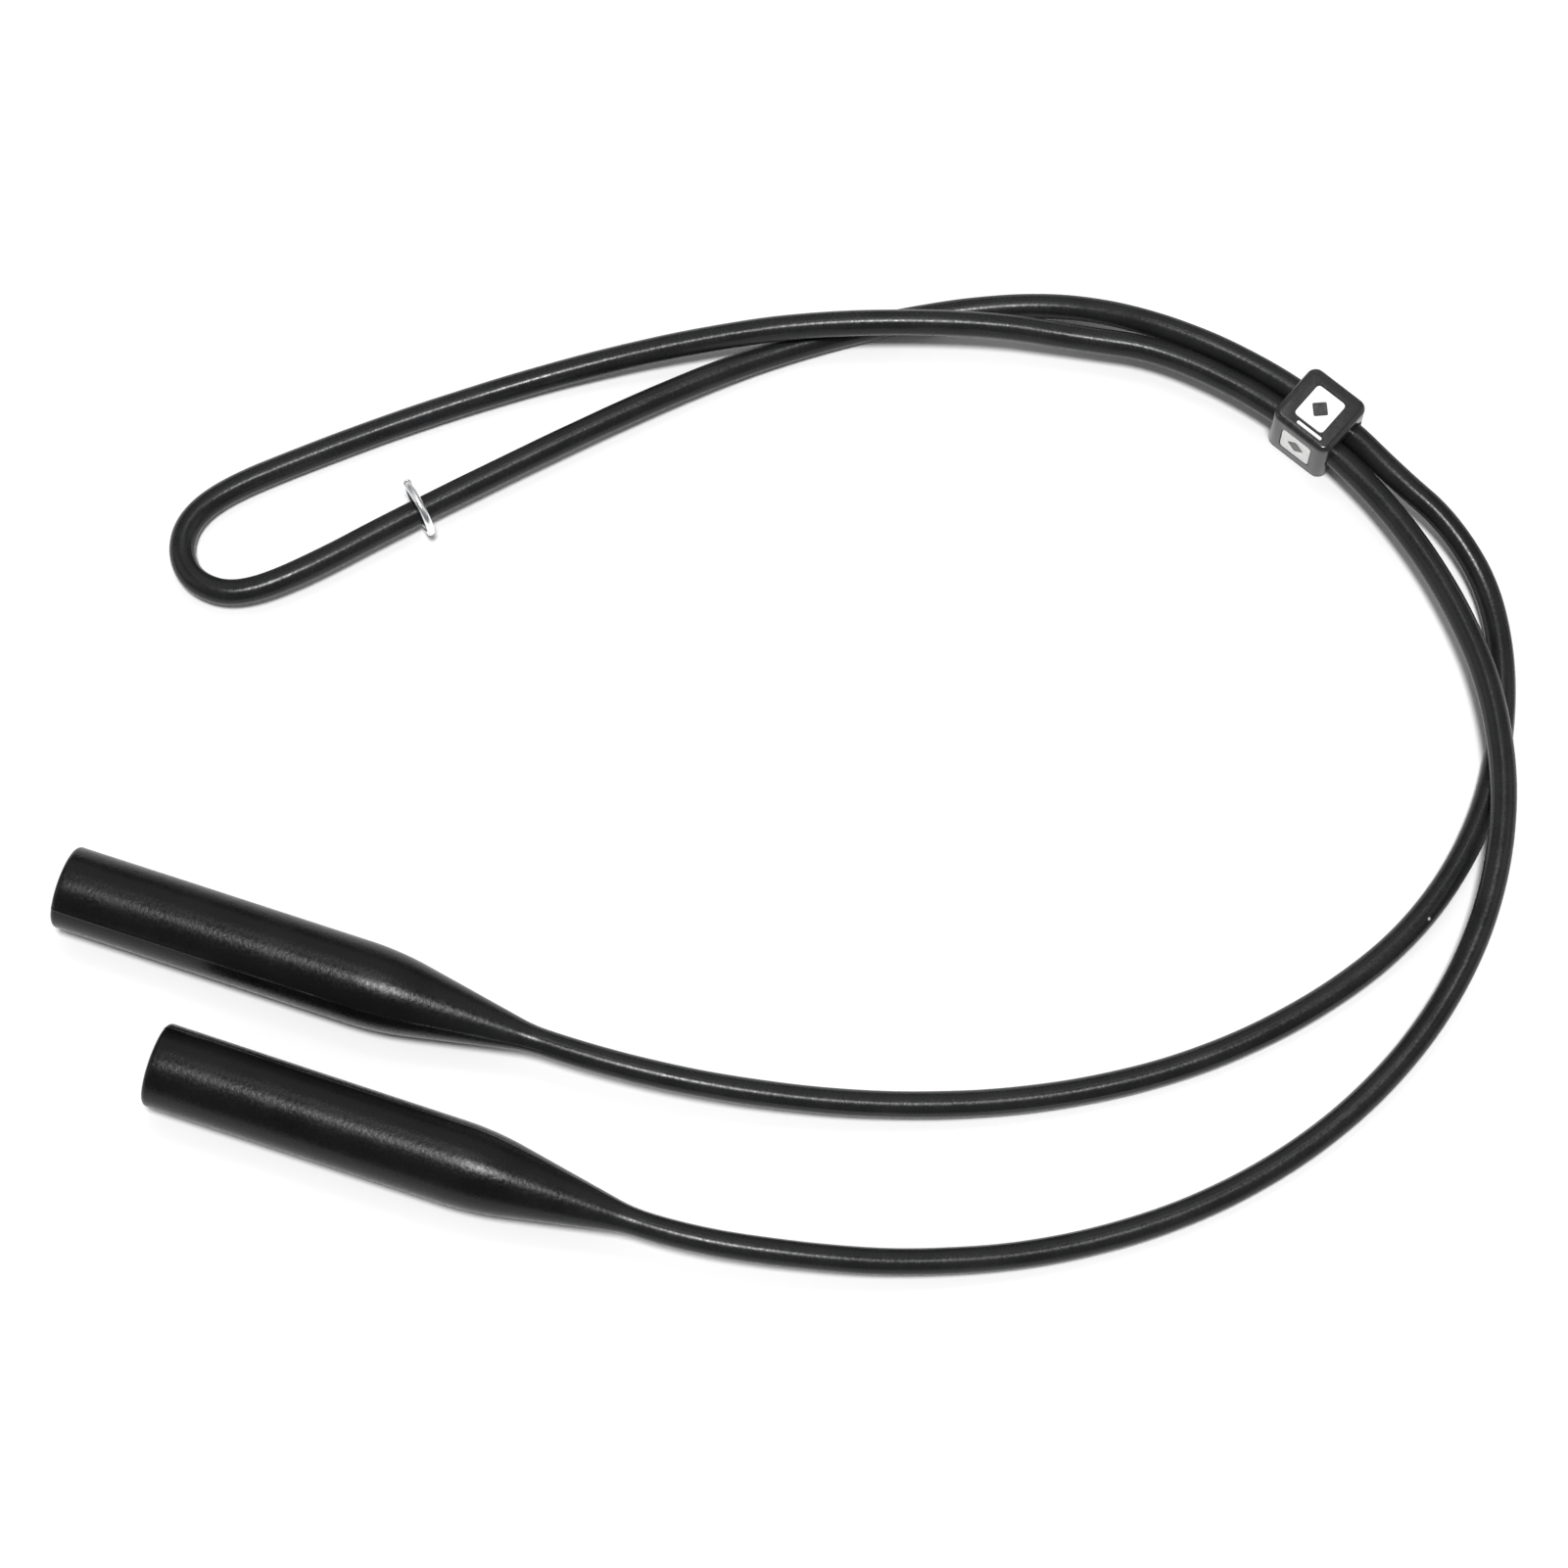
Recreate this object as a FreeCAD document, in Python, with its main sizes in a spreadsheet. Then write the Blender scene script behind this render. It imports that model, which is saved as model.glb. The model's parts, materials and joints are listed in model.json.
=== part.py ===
"""Moulded silicone eyeglasses strap: a round cord doubled back through a cube slider bead and
round an end loop, a hollow tapered sleeve on each end, and a metal ring round one strand.

Millimetres.  +Z is up and z = 0 is the surface that the strap lies on.  The origin is below the
middle of the box round the sleeves, the bead and the ring.
"""
import FreeCAD, Part
import math
import os
import Sketcher
from FreeCAD import Placement, Rotation, Vector

os.makedirs("parts", exist_ok=True)
doc = FreeCAD.newDocument("eyeglasses_strap")

# ---------------------------------------------------------------- driving dimensions
SIZES = {
    "cord_dia": 2.2,
    # sleeves
    "sleeve_len": 42.0,
    "sleeve_dia": 7.0,
    "sleeve_straight": 28.2,
    "sleeve_blend_start": 39.3,
    "sleeve_blend_radius": 1.35,
    "sleeve_mouth_round": 0.45,
    "sleeve_lead_in": 0.3,
    "bore_dia": 4.6,
    "bore_depth": 27.0,
    "bore_tip_len": 4.0,
    "sleeve_turn": -18.65,
    "upper_mouth_x": -53.3,
    "upper_mouth_y": -7.8,
    "lower_mouth_x": -45.3,
    "lower_mouth_y": -22.9,
    # slider bead
    "bead_side": 5.95,
    "bead_corner_round": 0.9,
    "bead_edge_round": 0.5,
    "slot_width": 4.8,
    "slot_height": 2.5,
    "slot_inset": 0.04,
    "slide_radius": 43.0,
    "slide_centre_x": 22.9,
    "slide_centre_y": 0.8,
    "bead_angle": 49.5,
    # white inlays in the bead's faces
    "inlay_depth": 0.2,
    "inlay_gap": 0.01,
    "tile_width": 3.0,
    "tile_height": 3.4,
    "tile_hole_half": 0.85,
    "line_len": 2.6,
    "line_width": 0.3,
    "line_offset": 2.1,
    "line_shift": 0.5,
    # stopper ring
    "ring_dia": 5.2,
    "ring_wire": 0.65,
    "ring_cut_angle": 3.0,
    "ring_x": -25.1,
    "ring_y": 25.9,
    "ring_turn": 28.4,
    "ring_roll": 35.0,
}

sheet = doc.addObject("Spreadsheet::Sheet", "Sizes")
for row, (alias, value) in enumerate(SIZES.items(), start=1):
    sheet.set(f"A{row}", alias)
    sheet.set(f"B{row}", str(value))
    sheet.setAlias(f"B{row}", alias)
doc.recompute()


def size(alias):
    """The value of one cell of the sheet, in millimetres or degrees."""
    return float(sheet.get(alias))


# an arc of the cord's path takes this share of the shorter of the two runs that it joins
ARC_SHARE = 0.45

# a middle point of the sleeve's hollow curve, as shares of its length and of its height
BLEND_MIDDLE_ALONG = 0.45
BLEND_MIDDLE_UP = 0.32

# The strand from the upper sleeve runs out along the bottom, up the right side, through the
# bead's outer half, back along the top, through the ring and round the loop.  It then returns
# over the first strand, through the bead's inner half, over the first strand again and back to
# the lower sleeve.  Both strands lie on the surface at half the cord's thickness, except where
# the sleeves, the ring and the bead lift them and where the second passes over the first.
ROUTE = [
    # out of the upper sleeve and down to the surface
    (-8.3, -23.0, 3.5),
    (2.0, -25.1, 2.9),
    (14.0, -26.1, 1.9),
    (26.5, -25.4, 1.2),
    # the big bend, outer strand, under the first crossing
    (38.4, -22.7, 1.1),
    (48.9, -17.8, 1.1),
    (57.6, -11.1, 1.1),
    (63.5, -2.1, 1.1),
    (66.0, 8.0, 1.1),
    (65.5, 17.8, 1.3),
    # lifted by the bead, at one radius about the slide's centre
    (62.0, 24.3, 2.5),
    (57.21, 28.69, 2.975),
    (53.17, 33.14, 2.975),
    (46.75, 38.24, 2.975),
    (38.45, 42.38, 2.975),
    # along the top, under the second crossing
    (29.4, 45.0, 1.8),
    (18.6, 44.4, 1.1),
    (5.6, 41.1, 1.1),
    # the straight stretch that the ring slides on
    (-6.9, 35.5, 1.85),
    (-25.9, 25.5, 1.85),
    # the end loop
    (-35.1, 20.2, 1.85),
    (-40.4, 18.3, 1.6),
    (-43.9, 19.5, 1.4),
    (-45.3, 22.3, 1.2),
    (-44.6, 25.4, 1.1),
    (-41.6, 28.0, 1.1),
    (-35.4, 30.8, 1.1),
    (-25.8, 34.7, 1.1),
    # up and over the first strand
    (-13.9, 38.6, 1.4),
    (-2.4, 41.1, 2.6),
    (8.6, 42.4, 3.7),
    (22.5, 42.4, 3.7),
    (31.2, 41.2, 2.9),
    # the bead's inner half
    (37.64, 40.22, 2.975),
    (45.51, 36.29, 2.975),
    (52.39, 30.82, 2.975),
    (58.0, 24.0, 2.975),
    # over the first strand again, then down to the surface
    (62.0, 16.8, 3.2),
    (64.7, 8.8, 3.7),
    (65.4, -1.2, 3.7),
    (63.1, -11.4, 2.7),
    (57.6, -20.8, 1.5),
    (49.3, -28.8, 1.1),
    (38.8, -34.8, 1.1),
    # back along the bottom and up into the lower sleeve
    (27.1, -38.2, 1.3),
    (15.6, -39.2, 2.1),
    (6.6, -38.7, 3.0),
    (-1.9, -37.5, 3.5),
]


# ---------------------------------------------------------------- sketch helpers
def new_body(label):
    body = doc.addObject("PartDesign::Body", label)
    body.Label = label
    return body


def origin_plane(body, role):
    return next(feature for feature in body.Origin.OriginFeatures if feature.Role == role)


def new_sketch(body, name, role, offset=None):
    """A sketch on one of the body's own origin planes, moved along it by offset."""
    sketch = body.newObject("Sketcher::SketchObject", name)
    sketch.AttachmentSupport = [(origin_plane(body, role), "")]
    sketch.MapMode = "FlatFace"
    if offset is not None:
        sketch.AttachmentOffset = offset
    return sketch


def add_loop(sketch, points):
    """A closed outline of straight sides, joined corner to corner."""
    first = sketch.GeometryCount
    for start, end in zip(points, points[1:] + points[:1]):
        sketch.addGeometry(Part.LineSegment(Vector(*start, 0), Vector(*end, 0)), False)
    count = len(points)
    for side in range(count):
        following = first + (side + 1) % count
        sketch.addConstraint(Sketcher.Constraint("Coincident", first + side, 2, following, 1))
    return first


def dimension(sketch, kind, where, expression):
    """A driving dimension bound to the sheet."""
    value = float(sketch.evalExpression(expression))
    index = sketch.addConstraint(Sketcher.Constraint(kind, *where, value))
    sketch.setExpression(f"Constraints[{index}]", expression)


def place(item, x, y, z, turn):
    item.Placement = Placement(Vector(x, y, z), Rotation(Vector(0, 0, 1), turn))


# ---------------------------------------------------------------- sleeves
def sleeve_axis():
    turn = math.radians(size("sleeve_turn"))
    return Vector(math.cos(turn), math.sin(turn), 0)


def sleeve_mouth(side):
    return Vector(size(f"{side}_mouth_x"), size(f"{side}_mouth_y"), size("sleeve_dia") / 2)


def sleeve_neck(side):
    return sleeve_mouth(side) + sleeve_axis() * size("sleeve_len")


def outer_outline(sketch):
    """Half section: straight barrel, cone, and a hollow curve that runs into the cord."""
    length = size("sleeve_len")
    barrel = size("sleeve_dia") / 2
    straight = size("sleeve_straight")
    blend_x = size("sleeve_blend_start")
    blend_y = size("sleeve_blend_radius")
    neck = size("cord_dia") / 2
    middle_x = blend_x + (length - blend_x) * BLEND_MIDDLE_ALONG
    middle_y = neck + (blend_y - neck) * BLEND_MIDDLE_UP
    mouth_middle = Vector(0, 0, 0)
    mouth_rim = Vector(0, barrel, 0)
    shoulder = Vector(straight, barrel, 0)
    blend_start = Vector(blend_x, blend_y, 0)
    blend_middle = Vector(middle_x, middle_y, 0)
    neck_rim = Vector(length, neck, 0)
    neck_middle = Vector(length, 0, 0)
    sketch.addGeometry(Part.LineSegment(mouth_middle, mouth_rim), False)
    sketch.addGeometry(Part.LineSegment(mouth_rim, shoulder), False)
    sketch.addGeometry(Part.LineSegment(shoulder, blend_start), False)
    sketch.addGeometry(Part.Arc(blend_start, blend_middle, neck_rim), False)
    sketch.addGeometry(Part.LineSegment(neck_rim, neck_middle), False)
    sketch.addGeometry(Part.LineSegment(neck_middle, mouth_middle), False)
    for start, end in ((0, 1), (1, 2), (4, 5)):
        sketch.addConstraint(Sketcher.Constraint("Coincident", start, 2, end, 1))
    sketch.addConstraint(Sketcher.Constraint("Coincident", 5, 2, 0, 1))
    sketch.addConstraint(Sketcher.Constraint("Coincident", 0, 1, -1, 1))
    sketch.addConstraint(Sketcher.Constraint("Vertical", 0))
    sketch.addConstraint(Sketcher.Constraint("Horizontal", 1))
    sketch.addConstraint(Sketcher.Constraint("Vertical", 4))
    sketch.addConstraint(Sketcher.Constraint("Horizontal", 5))
    # the arc is drawn clockwise, so its start is at the neck
    arc_start = sketch.Geometry[3].StartPoint
    at_neck = 1 if abs(arc_start.x - length) < 1e-6 else 2
    sketch.addConstraint(Sketcher.Constraint("Coincident", 2, 2, 3, 3 - at_neck))
    sketch.addConstraint(Sketcher.Constraint("Coincident", 3, at_neck, 4, 1))
    dimension(sketch, "DistanceY", (0, 1, 0, 2), "Sizes.sleeve_dia / 2")
    dimension(sketch, "DistanceX", (1, 1, 1, 2), "Sizes.sleeve_straight")
    dimension(sketch, "DistanceX", (-1, 1, 2, 2), "Sizes.sleeve_blend_start")
    dimension(sketch, "DistanceY", (-1, 1, 2, 2), "Sizes.sleeve_blend_radius")
    dimension(sketch, "DistanceX", (5, 2, 5, 1), "Sizes.sleeve_len")
    dimension(sketch, "DistanceY", (4, 2, 4, 1), "Sizes.cord_dia / 2")


def bore_outline(sketch):
    """Half section of the blind bore: a straight wall and a conical end."""
    radius = size("bore_dia") / 2
    depth = size("bore_depth")
    tip = depth + size("bore_tip_len")
    first = add_loop(sketch, [(0, 0), (0, radius), (depth, radius), (tip, 0)])
    sketch.addConstraint(Sketcher.Constraint("Coincident", first, 1, -1, 1))
    sketch.addConstraint(Sketcher.Constraint("Vertical", first))
    sketch.addConstraint(Sketcher.Constraint("Horizontal", first + 1))
    sketch.addConstraint(Sketcher.Constraint("Horizontal", first + 3))
    dimension(sketch, "DistanceY", (first, 1, first, 2), "Sizes.bore_dia / 2")
    dimension(sketch, "DistanceX", (first + 1, 1, first + 1, 2), "Sizes.bore_depth")
    dimension(sketch, "DistanceX", (first + 3, 2, first + 3, 1), "Sizes.bore_depth + Sizes.bore_tip_len")


def mouth_edges(feature, radius):
    """Names of the full circles of this radius in the plane of the mouth."""
    names = []
    for index, edge in enumerate(feature.Shape.Edges, start=1):
        round_edge = isinstance(edge.Curve, Part.Circle)
        if round_edge and abs(edge.Curve.Radius - radius) < 1e-4 and abs(edge.Curve.Center.x) < 1e-4:
            names.append(f"Edge{index}")
    return names


def add_fillet(body, base, names, alias):
    fillet = body.newObject("PartDesign::Fillet", f"Round_{alias}")
    fillet.Base = (base, names)
    fillet.setExpression("Radius", f"Sizes.{alias}")
    doc.recompute()
    return fillet


def make_sleeve(side):
    body = new_body(f"temple_sleeve_{side}")
    outer = new_sketch(body, f"SleeveSection_{side}", "XY_Plane")
    outer_outline(outer)
    barrel = body.newObject("PartDesign::Revolution", f"Sleeve_{side}")
    barrel.Profile = outer
    barrel.ReferenceAxis = (outer, ["H_Axis"])
    barrel.Angle = 360
    bore = new_sketch(body, f"BoreSection_{side}", "XY_Plane")
    bore_outline(bore)
    groove = body.newObject("PartDesign::Groove", f"Bore_{side}")
    groove.Profile = bore
    groove.ReferenceAxis = (bore, ["H_Axis"])
    groove.Angle = 360
    doc.recompute()
    outer_rim = mouth_edges(groove, size("sleeve_dia") / 2)
    rounded = add_fillet(body, groove, outer_rim, "sleeve_mouth_round")
    inner_rim = mouth_edges(rounded, size("bore_dia") / 2)
    add_fillet(body, rounded, inner_rim, "sleeve_lead_in")
    mouth = sleeve_mouth(side)
    place(body, mouth.x, mouth.y, mouth.z, size("sleeve_turn"))
    return body


# ---------------------------------------------------------------- cord
def route_edges(points):
    """Straight runs joined by tangent arcs, each as large as the shorter of its two runs allows."""
    edges = []
    radii = []
    start = points[0]
    for before, corner, after in zip(points, points[1:], points[2:]):
        incoming = (corner - before).normalize()
        outgoing = (after - corner).normalize()
        half_turn = incoming.getAngle(outgoing) / 2
        shorter = min((corner - before).Length, (after - corner).Length)
        tangent = ARC_SHARE * shorter
        radii.append(tangent / math.tan(half_turn))
        arc_start = corner - incoming * tangent
        arc_end = corner + outgoing * tangent
        inward = (outgoing - incoming).normalize()
        middle = corner + inward * (radii[-1] / math.cos(half_turn) - radii[-1])
        edges.append(Part.LineSegment(start, arc_start).toShape())
        edges.append(Part.Arc(arc_start, middle, arc_end).toShape())
        start = arc_end
    edges.append(Part.LineSegment(start, points[-1]).toShape())
    return edges, radii


def make_cord():
    """One round cord from the upper sleeve's neck to the lower sleeve's neck."""
    radius = size("cord_dia") / 2
    points = [sleeve_neck("upper")] + [Vector(*point) for point in ROUTE] + [sleeve_neck("lower")]
    edges, radii = route_edges(points)
    path = Part.Wire(edges)
    section = Part.Wire([Part.Circle(points[0], points[1] - points[0], radius).toShape()])
    cord = doc.addObject("Part::Feature", "cord")
    cord.Label = "cord"
    cord.Shape = path.makePipeShell([section], True, False)
    cord.Placement = Placement()
    whole = path.Length + 2 * size("sleeve_len")
    straight_volume = math.pi * radius ** 2 * path.Length
    print(f"cord length {path.Length:.2f}, from mouth to mouth {whole:.2f}")
    print("bend radii", [round(bend, 1) for bend in radii])
    print(f"volume / (section x length) {cord.Shape.Volume / straight_volume:.5f}")
    return cord


# ---------------------------------------------------------------- slider bead
def bead_centre():
    angle = math.radians(size("bead_angle"))
    centre = Vector(size("slide_centre_x"), size("slide_centre_y"), size("bead_side") / 2)
    return centre + Vector(math.cos(angle), math.sin(angle), 0) * size("slide_radius")


def place_on_bead(item):
    """Bead frame: X along the strands, Y outwards from the bend, Z up, origin at its middle."""
    centre = bead_centre()
    place(item, centre.x, centre.y, centre.z, size("bead_angle") - 90)


def slot_outline(sketch):
    """Oblong hole for two strands side by side, with round ends."""
    end = size("slot_height") / 2
    half = size("slot_width") / 2 - end
    shift = -size("slot_inset")
    left = Vector(shift - half, 0, 0)
    right = Vector(shift + half, 0, 0)
    up = Vector(0, end, 0)
    quarter = math.pi / 2
    right_circle = Part.Circle(right, Vector(0, 0, 1), end)
    left_circle = Part.Circle(left, Vector(0, 0, 1), end)
    sketch.addGeometry(Part.ArcOfCircle(right_circle, -quarter, quarter))
    sketch.addGeometry(Part.LineSegment(right + up, left + up))
    sketch.addGeometry(Part.ArcOfCircle(left_circle, quarter, 3 * quarter))
    sketch.addGeometry(Part.LineSegment(left - up, right - up))
    for side in range(4):
        sketch.addConstraint(Sketcher.Constraint("Tangent", side, 2, (side + 1) % 4, 1))
    sketch.addConstraint(Sketcher.Constraint("Horizontal", 1))
    sketch.addConstraint(Sketcher.Constraint("PointOnObject", 0, 3, -1))
    dimension(sketch, "Radius", (0,), "Sizes.slot_height / 2")
    spread = "Sizes.slot_width - Sizes.slot_height"
    dimension(sketch, "DistanceX", (2, 3, 0, 3), spread)
    dimension(sketch, "DistanceX", (-1, 1, 0, 3), f"({spread}) / 2 - Sizes.slot_inset")


def rectangle_outline(sketch, width, height, centre, width_expression, height_expression):
    """A rectangle centred on the sketch's vertical axis, at a height given by centre."""
    right = width / 2
    top = centre + height / 2
    bottom = centre - height / 2
    first = add_loop(sketch, [(-right, bottom), (right, bottom), (right, top), (-right, top)])
    sketch.addConstraint(Sketcher.Constraint("Vertical", first + 1))
    sketch.addConstraint(Sketcher.Constraint("Horizontal", first + 2))
    sketch.addConstraint(Sketcher.Constraint("Vertical", first + 3))
    sketch.addConstraint(Sketcher.Constraint("Symmetric", first, 1, first, 2, -2))
    dimension(sketch, "DistanceX", (first, 1, first, 2), width_expression)
    dimension(sketch, "DistanceY", (first + 1, 1, first + 1, 2), height_expression)
    return first


def tile_outline(sketch, grow, grow_expression):
    """A rectangle in the middle of the face with a diamond-shaped hole."""
    first = rectangle_outline(
        sketch,
        size("tile_width") + 2 * grow,
        size("tile_height") + 2 * grow,
        0,
        f"Sizes.tile_width + 2 * {grow_expression}",
        f"Sizes.tile_height + 2 * {grow_expression}",
    )
    dimension(sketch, "DistanceY", (first, 1, -1, 1), f"Sizes.tile_height / 2 + {grow_expression}")
    half = size("tile_hole_half") - grow
    hole = add_loop(sketch, [(half, 0), (0, half), (-half, 0), (0, -half)])
    sketch.addConstraint(Sketcher.Constraint("Symmetric", hole, 1, hole + 2, 1, -1, 1))
    sketch.addConstraint(Sketcher.Constraint("Symmetric", hole + 1, 1, hole + 3, 1, -1, 1))
    sketch.addConstraint(Sketcher.Constraint("PointOnObject", hole, 1, -1))
    sketch.addConstraint(Sketcher.Constraint("PointOnObject", hole + 1, 1, -2))
    across = f"2 * (Sizes.tile_hole_half - {grow_expression})"
    dimension(sketch, "DistanceX", (hole + 2, 1, hole, 1), across)
    dimension(sketch, "DistanceY", (hole + 3, 1, hole + 1, 1), across)


def line_outline(sketch, grow, grow_expression):
    """A thin bar near the edge of the face."""
    first = rectangle_outline(
        sketch,
        size("line_len") + 2 * grow,
        size("line_width") + 2 * grow,
        -size("line_offset"),
        f"Sizes.line_len + 2 * {grow_expression}",
        f"Sizes.line_width + 2 * {grow_expression}",
    )
    lower_edge = f"Sizes.line_offset + Sizes.line_width / 2 + {grow_expression}"
    dimension(sketch, "DistanceY", (first, 1, -1, 1), lower_edge)


# each decorated face: the origin plane that it is parallel to, and which side of the bead it is on
FACES = {
    "top": ("XY_Plane", 1),
    "front": ("XZ_Plane", 1),
    "back": ("XZ_Plane", -1),
    "bottom": ("XY_Plane", -1),
}


def face_sketch(body, name, face, depth, along):
    """A sketch parallel to one face of the bead, at a depth below it and a way along the strands."""
    plane, side = FACES[face]
    away = side * (size("bead_side") / 2 - depth)
    return new_sketch(body, name, plane, Placement(Vector(along, 0, away), Rotation()))


def cut_recess(body, face, name, draw, along=0):
    sketch = face_sketch(body, f"{name}Outline_{face}", face, 0, along)
    draw(sketch)
    pocket = body.newObject("PartDesign::Pocket", f"{name}_{face}")
    pocket.Profile = sketch
    pocket.setExpression("Length", "Sizes.inlay_depth")
    pocket.Reversed = FACES[face][1] < 0
    doc.recompute()
    return pocket


def edges_of(feature, upright):
    """Names of the block's upright edges, or of those that lie round its top and bottom."""
    names = []
    for index, edge in enumerate(feature.Shape.Edges, start=1):
        rise = edge.BoundBox.ZLength
        if (rise > size("bead_side") / 2) == upright:
            names.append(f"Edge{index}")
    return names


def make_bead():
    body = new_body("slider_bead")
    outline = new_sketch(body, "BeadOutline", "XY_Plane")
    side = size("bead_side")
    rectangle_outline(outline, side, side, 0, "Sizes.bead_side", "Sizes.bead_side")
    dimension(outline, "DistanceY", (0, 1, -1, 1), "Sizes.bead_side / 2")
    block = body.newObject("PartDesign::Pad", "BeadBlock")
    block.Profile = outline
    block.Midplane = True
    block.setExpression("Length", "Sizes.bead_side")
    doc.recompute()
    corners = add_fillet(body, block, edges_of(block, upright=True), "bead_corner_round")
    add_fillet(body, corners, edges_of(corners, upright=False), "bead_edge_round")
    slot_sketch = new_sketch(body, "SlotOutline", "YZ_Plane")
    slot_outline(slot_sketch)
    slot = body.newObject("PartDesign::Pocket", "StrandSlot")
    slot.Profile = slot_sketch
    slot.Type = 1
    slot.Midplane = True
    doc.recompute()
    for face in FACES:
        cut_recess(body, face, "Tile", tile_recess)
    cut_recess(body, "top", "Line", line_recess, size("line_shift"))
    place_on_bead(body)
    return body


def tile_recess(sketch):
    """The middle of the face stays in the bead, as a diamond."""
    tile_outline(sketch, 0, "0")


def tile_inlay(sketch):
    tile_outline(sketch, -size("inlay_gap"), "(0 - Sizes.inlay_gap)")


def line_recess(sketch):
    line_outline(sketch, 0, "0")


def line_inlay(sketch):
    line_outline(sketch, -size("inlay_gap"), "(0 - Sizes.inlay_gap)")


def make_inlay(label, face, draw, along=0):
    """A flat white inlay that fills its recess flush with the face."""
    body = new_body(label)
    sketch = face_sketch(body, f"Outline_{label}", face, size("inlay_depth"), along)
    draw(sketch)
    pad = body.newObject("PartDesign::Pad", f"Inlay_{label}")
    pad.Profile = sketch
    pad.setExpression("Length", "Sizes.inlay_depth")
    pad.Reversed = FACES[face][1] < 0
    place_on_bead(body)
    return body


# ---------------------------------------------------------------- stopper ring
def make_ring():
    """A round-wire jump ring with a fine cut, standing across the strand that runs through it."""
    body = new_body("stopper_ring")
    section = new_sketch(body, "WireSection", "XY_Plane")
    wire = size("ring_wire") / 2
    middle = size("ring_dia") / 2 - wire
    section.addGeometry(Part.Circle(Vector(0, middle, 0), Vector(0, 0, 1), wire))
    section.addConstraint(Sketcher.Constraint("PointOnObject", 0, 3, -2))
    dimension(section, "Radius", (0,), "Sizes.ring_wire / 2")
    dimension(section, "DistanceY", (-1, 1, 0, 3), "(Sizes.ring_dia - Sizes.ring_wire) / 2")
    ring = body.newObject("PartDesign::Revolution", "RingWire")
    ring.Profile = section
    ring.ReferenceAxis = (section, ["H_Axis"])
    ring.setExpression("Angle", "360 - Sizes.ring_cut_angle")
    across = Rotation(Vector(0, 0, 1), size("ring_turn"))
    roll = Rotation(Vector(1, 0, 0), size("ring_roll"))
    body.Placement = Placement(Vector(size("ring_x"), size("ring_y"), size("ring_dia") / 2), across * roll)
    return body


# ---------------------------------------------------------------- build, check and write
parts = [make_sleeve("upper"), make_sleeve("lower"), make_cord(), make_bead()]
for face_name in FACES:
    parts.append(make_inlay(f"bead_mark_{face_name}", face_name, tile_inlay))
parts.append(make_inlay("bead_line_top", "top", line_inlay, size("line_shift")))
parts.append(make_ring())
doc.recompute()

for item in doc.Objects:
    if "Invalid" in item.State or "Error" in item.State:
        raise RuntimeError(f"{item.Name} failed: {item.State}")
for part in parts:
    if part.Shape.isNull() or not part.Shape.isValid():
        raise RuntimeError(f"{part.Label} has no valid shape")
for part in parts:
    part.Shape.exportStep(f"parts/{part.Label}.step")
    box = part.Shape.BoundBox
    corners = [round(value, 2) for value in (box.XMin, box.XMax, box.YMin, box.YMax, box.ZMin, box.ZMax)]
    print(f"{part.Label:22s} {part.Shape.Volume:9.3f} mm3, box {corners}, solids {len(part.Shape.Solids)}")
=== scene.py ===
import json
import math

import bmesh
import bpy
import numpy as np
from mathutils import Matrix, Vector


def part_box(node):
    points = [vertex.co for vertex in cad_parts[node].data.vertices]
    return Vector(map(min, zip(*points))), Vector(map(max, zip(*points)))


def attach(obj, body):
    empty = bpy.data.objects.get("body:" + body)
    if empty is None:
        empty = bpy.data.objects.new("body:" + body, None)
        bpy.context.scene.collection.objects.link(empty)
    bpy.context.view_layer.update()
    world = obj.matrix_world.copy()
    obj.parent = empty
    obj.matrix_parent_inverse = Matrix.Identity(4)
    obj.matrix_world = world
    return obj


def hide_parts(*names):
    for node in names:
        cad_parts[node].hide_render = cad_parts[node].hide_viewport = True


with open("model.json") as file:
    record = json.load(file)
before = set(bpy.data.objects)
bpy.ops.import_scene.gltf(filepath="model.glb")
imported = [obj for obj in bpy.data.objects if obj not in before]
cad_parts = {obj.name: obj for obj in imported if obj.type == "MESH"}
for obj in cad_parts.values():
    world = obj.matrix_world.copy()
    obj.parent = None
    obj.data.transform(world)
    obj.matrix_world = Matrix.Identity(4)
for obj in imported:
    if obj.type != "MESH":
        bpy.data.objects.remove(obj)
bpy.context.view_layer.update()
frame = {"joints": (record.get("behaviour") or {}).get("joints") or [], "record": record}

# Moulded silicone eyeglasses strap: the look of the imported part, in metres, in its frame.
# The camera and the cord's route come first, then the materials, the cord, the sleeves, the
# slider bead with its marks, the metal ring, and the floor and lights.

MM = 0.001
SCENE = bpy.context.scene

# ---------------------------------------------------------------- sizes, in millimetres
CORD_RADIUS = 1.1
BARREL_RADIUS = 3.5
BORE_RADIUS = 2.3
SLEEVE_LENGTH = 42.0
SHOULDER = 28.2
BLEND_START = 39.3
BLEND_RADIUS = 1.35
BORE_DEPTH = 27.0
BORE_TIP = 31.0
BEAD_SIDE = 5.95
RING_ROLL = math.radians(35.0)
RING_RADIUS = 2.275
RING_WIRE_RADIUS = 0.325
RING_CUT = math.radians(3.0)
RING_END_ROUND = 0.06
RING_END_OFFSET = 0.16
RING_STATIONS = 120
RING_POINTS_ROUND = 28

# ---------------------------------------------------------------- places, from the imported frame
MOUNTS = {mount["name"]: mount for mount in frame["record"]["mounts"]}
SLEEVE_AXIS = -Vector(MOUNTS["temple_bore_upper"]["axis"])
BEAD_SLIDE = next(joint for joint in frame["joints"] if joint["name"] == "bead_slide")


def sleeve_mouth(side):
    """The bore's mount is at the middle of its straight length."""
    return Vector(MOUNTS[f"temple_bore_{side}"]["pos_m"]) / MM - SLEEVE_AXIS * BORE_DEPTH / 2


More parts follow.
